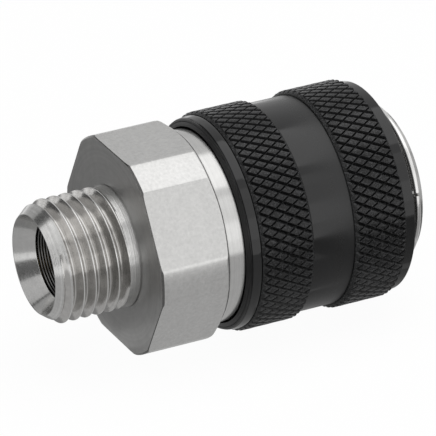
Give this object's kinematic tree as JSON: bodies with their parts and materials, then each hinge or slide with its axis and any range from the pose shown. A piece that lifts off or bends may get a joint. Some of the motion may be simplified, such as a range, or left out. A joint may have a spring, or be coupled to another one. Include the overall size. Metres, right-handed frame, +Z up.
{
  "type": "shut-off coupling",
  "caption": "Quick-release socket for a compressed-air plug: male inlet thread, hexagon, knurled locking sleeve over a ball lock, and a spring-loaded valve that shuts when the plug leaves.",
  "frame": {"origin": "on the axis, in the sealing shoulder where the inlet thread meets the hexagon", "axes": "+X along the axis from the inlet thread to the plug socket, +Z up through the middle of a hexagon flat"},
  "size_m": [0.0417, 0.0238, 0.0238],
  "materials": {
    "nickel_plate": "satin nickel plate",
    "black_sleeve": "satin black anodised",
    "slip_ring": "matt",
    "spring_steel": "drawn wire",
    "ball_steel": "polished",
    "seal_rubber": "matt",
    "valve_brass": "turned"
  },
  "bodies": {
    "housing": {"threaded_adapter": "nickel_plate", "valve_body": "nickel_plate", "snap_ring": "spring_steel", "plug_seal": "seal_rubber", "joint_seal": "seal_rubber", "valve_guide": "valve_brass", "sleeve_spring": "spring_steel", "valve_spring": "spring_steel"},
    "slip_ring": {"spring_washer": "slip_ring"},
    "sleeve": {"grip_sleeve": "black_sleeve"},
    "valve": {"valve_poppet": "valve_brass", "valve_seal": "seal_rubber"},
    "ball_1": {"locking_ball_1": "ball_steel"},
    "ball_2": {"locking_ball_2": "ball_steel"},
    "ball_3": {"locking_ball_3": "ball_steel"},
    "ball_4": {"locking_ball_4": "ball_steel"},
    "ball_5": {"locking_ball_5": "ball_steel"},
    "ball_6": {"locking_ball_6": "ball_steel"},
    "ball_7": {"locking_ball_7": "ball_steel"},
    "ball_8": {"locking_ball_8": "ball_steel"}
  },
  "joints": [
    {"name": "sleeve_slide", "type": "slide", "parent": "housing", "child": "slip_ring", "axis": [1, 0, 0], "range_m": [-0.0018, 0], "stiffness_N_per_m": 1500, "springref_m": 0.006, "deforming": ["sleeve_spring"]},
    {"name": "sleeve_spin", "type": "hinge", "parent": "slip_ring", "child": "sleeve", "pos_m": [0.0205, 0, 0], "axis": [1, 0, 0], "continuous": true},
    {"name": "valve_slide", "type": "slide", "parent": "housing", "child": "valve", "axis": [1, 0, 0], "range_m": [-0.0032, 0], "stiffness_N_per_m": 500, "springref_m": 0.004, "deforming": ["valve_spring"]},
    {"name": "ball_1_slide", "type": "slide", "parent": "housing", "child": "ball_1", "axis": [0, 0, 1], "range_m": [0, 0.00072]},
    {"name": "ball_2_slide", "type": "slide", "parent": "housing", "child": "ball_2", "axis": [0, -0.7071, 0.7071], "range_m": [0, 0.00072]},
    {"name": "ball_3_slide", "type": "slide", "parent": "housing", "child": "ball_3", "axis": [0, -1, 0], "range_m": [0, 0.00072]},
    {"name": "ball_4_slide", "type": "slide", "parent": "housing", "child": "ball_4", "axis": [0, -0.7071, -0.7071], "range_m": [0, 0.00072]},
    {"name": "ball_5_slide", "type": "slide", "parent": "housing", "child": "ball_5", "axis": [0, 0, -1], "range_m": [0, 0.00072]},
    {"name": "ball_6_slide", "type": "slide", "parent": "housing", "child": "ball_6", "axis": [0, 0.7071, -0.7071], "range_m": [0, 0.00072]},
    {"name": "ball_7_slide", "type": "slide", "parent": "housing", "child": "ball_7", "axis": [0, 1, 0], "range_m": [0, 0.00072]},
    {"name": "ball_8_slide", "type": "slide", "parent": "housing", "child": "ball_8", "axis": [0, 0.7071, 0.7071], "range_m": [0, 0.00072]}
  ],
  "couplings": [
    {"joint": "ball_1_slide", "follows": "sleeve_slide", "ratio": -0.4},
    {"joint": "ball_2_slide", "follows": "sleeve_slide", "ratio": -0.4},
    {"joint": "ball_3_slide", "follows": "sleeve_slide", "ratio": -0.4},
    {"joint": "ball_4_slide", "follows": "sleeve_slide", "ratio": -0.4},
    {"joint": "ball_5_slide", "follows": "sleeve_slide", "ratio": -0.4},
    {"joint": "ball_6_slide", "follows": "sleeve_slide", "ratio": -0.4},
    {"joint": "ball_7_slide", "follows": "sleeve_slide", "ratio": -0.4},
    {"joint": "ball_8_slide", "follows": "sleeve_slide", "ratio": -0.4}
  ]
}
